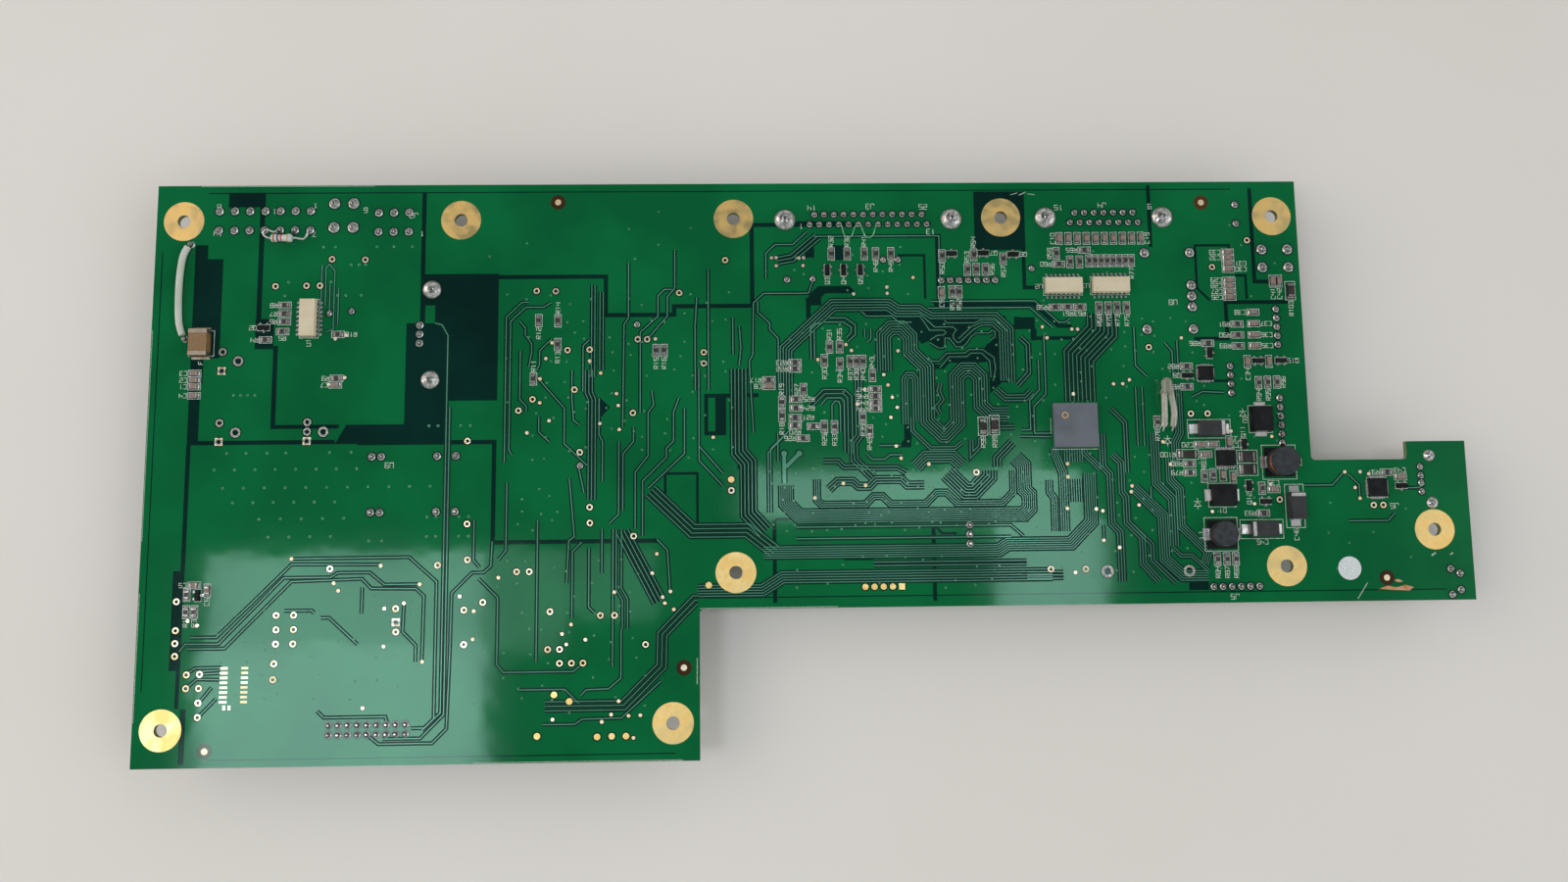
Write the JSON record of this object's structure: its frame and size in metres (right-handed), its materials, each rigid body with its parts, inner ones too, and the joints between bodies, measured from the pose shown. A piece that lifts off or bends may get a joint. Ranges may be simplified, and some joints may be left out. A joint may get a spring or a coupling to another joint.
{
  "type": "printed circuit board",
  "caption": "L-shaped green controller board, soldered side up, with gold mounting lands, small surface parts and tall connectors on the far side.",
  "frame": {"origin": "axis of the lower-left mounting hole, on the board's connector-side face", "axes": "+X along the board's long edge towards the ear, +Y towards the connector edge, +Z out of the soldered side"},
  "size_m": [0.364, 0.159, 0.019],
  "materials": {
    "laminate": "glossy green solder mask over glass-epoxy laminate with copper pours under it",
    "gold_plating": "flat gold immersion plating over nickel",
    "solder": "bright flowed tin-lead solder, slightly rippled",
    "resistor_glaze": "dark resistor film under glaze, semi-gloss",
    "capacitor_ceramic": "fired brown ceramic, matte",
    "tinned_ends": "dull tin plating with solder fillets",
    "shunt_body": "black moulded chip body, matte",
    "black_moulding": "black epoxy moulding compound, fine matte",
    "tinned_leads": "dull tin-plated copper alloy",
    "coupler_moulding": "cream epoxy moulding compound, fine matte",
    "processor_moulding": "blue-grey epoxy moulding compound, matte",
    "package_base": "dark green laminate, semi-gloss",
    "ferrite": "sintered ferrite, matte dark grey",
    "enamelled_copper": "enamelled copper winding wire, glossy",
    "tantalum_moulding": "black epoxy moulding, semi-gloss with a pale polarity band",
    "fuse_ceramic": "tan ceramic, matte",
    "fuse_caps": "tinned end caps, satin",
    "resistor_lacquer": "pale blue-grey lacquer with colour bands, gloss",
    "jumper_insulation": "off-white plastic sleeving, satin",
    "wire_enamel": "green insulation on fine wire, gloss",
    "lamp_lens": "clear cast epoxy, gloss",
    "clear_sleeve": "clear plastic sleeving, gloss",
    "paper": "plain white paper, matte",
    "natural_nylon": "natural glass-filled nylon, satin",
    "tinned_brass": "tin-plated brass pins, satin",
    "black_nylon": "black glass-filled polyester, fine matte",
    "nickel_shell": "nickel-plated pressed steel, satin",
    "gold_contacts": "gold-plated contacts, bright",
    "zinc_steel": "zinc-plated turned steel, satin",
    "white_nylon": "white glass-filled nylon, satin",
    "button_moulding": "black moulded nylon, fine matte",
    "black_anodised": "black anodised aluminium extrusion, satin",
    "tab_metal": "tinned copper tab, satin",
    "potted_case": "black moulded case, fine matte"
  },
  "bodies": {
    "unit": {"board": "laminate", "mounting_lands": "gold_plating", "hole_lands": "gold_plating", "test_pads": "gold_plating", "solder_joints": "solder", "solder_domes": "solder", "chip_resistor_bodies": "resistor_glaze", "chip_capacitor_bodies": "capacitor_ceramic", "chip_ends": "tinned_ends", "large_chip_bodies": "shunt_body", "transistor_bodies": "black_moulding", "transistor_leads": "tinned_leads", "coupler_bodies": "coupler_moulding", "coupler_leads": "tinned_leads", "processor_body": "processor_moulding", "processor_base": "package_base", "controller_bodies": "black_moulding", "controller_leads": "tinned_leads", "drum_cores": "ferrite", "drum_windings": "enamelled_copper", "drum_bases": "black_moulding", "drum_terminals": "tinned_leads", "tantalum_bodies": "tantalum_moulding", "rectifier_bodies": "black_moulding", "strip_terminals": "tinned_leads", "surface_fuse_body": "fuse_ceramic", "surface_fuse_ends": "fuse_caps", "leaded_resistor_body": "resistor_lacquer", "leaded_resistor_leads": "tinned_leads", "jumper_sleeve": "jumper_insulation", "jumper_ends": "solder", "repair_wires": "wire_enamel", "indicator_lamp": "lamp_lens", "lamp_sleeves": "clear_sleeve", "lamp_leads": "tinned_leads", "round_label": "paper", "power_header_housings": "natural_nylon", "power_header_pins": "tinned_brass", "dsub_bodies": "black_nylon", "dsub_shells": "nickel_shell", "dsub_contacts": "gold_contacts", "dsub_posts": "zinc_steel", "pin_header_bodies": "black_nylon", "pin_header_pins": "tinned_brass", "link_socket": "black_nylon", "usb_shell": "nickel_shell", "usb_tongue": "white_nylon", "usb_contacts": "gold_contacts", "switch_body": "black_nylon", "switch_terminals": "tinned_leads", "heat_sink": "black_anodised", "power_transistor": "black_moulding", "power_transistor_tab": "tab_metal", "sink_screw": "zinc_steel", "power_transistor_leads": "tinned_leads", "converter_cases": "potted_case", "converter_pins": "tinned_brass", "line_chokes": "ferrite", "line_choke_windings": "enamelled_copper"},
    "button": {"switch_button": "button_moulding"}
  },
  "joints": [
    {"name": "button_press", "type": "slide", "parent": "unit", "child": "button", "axis": [-1, 0, 0], "range_m": [0, 0.00025], "stiffness_N_per_m": 3200, "springref_m": -0.00025}
  ]
}
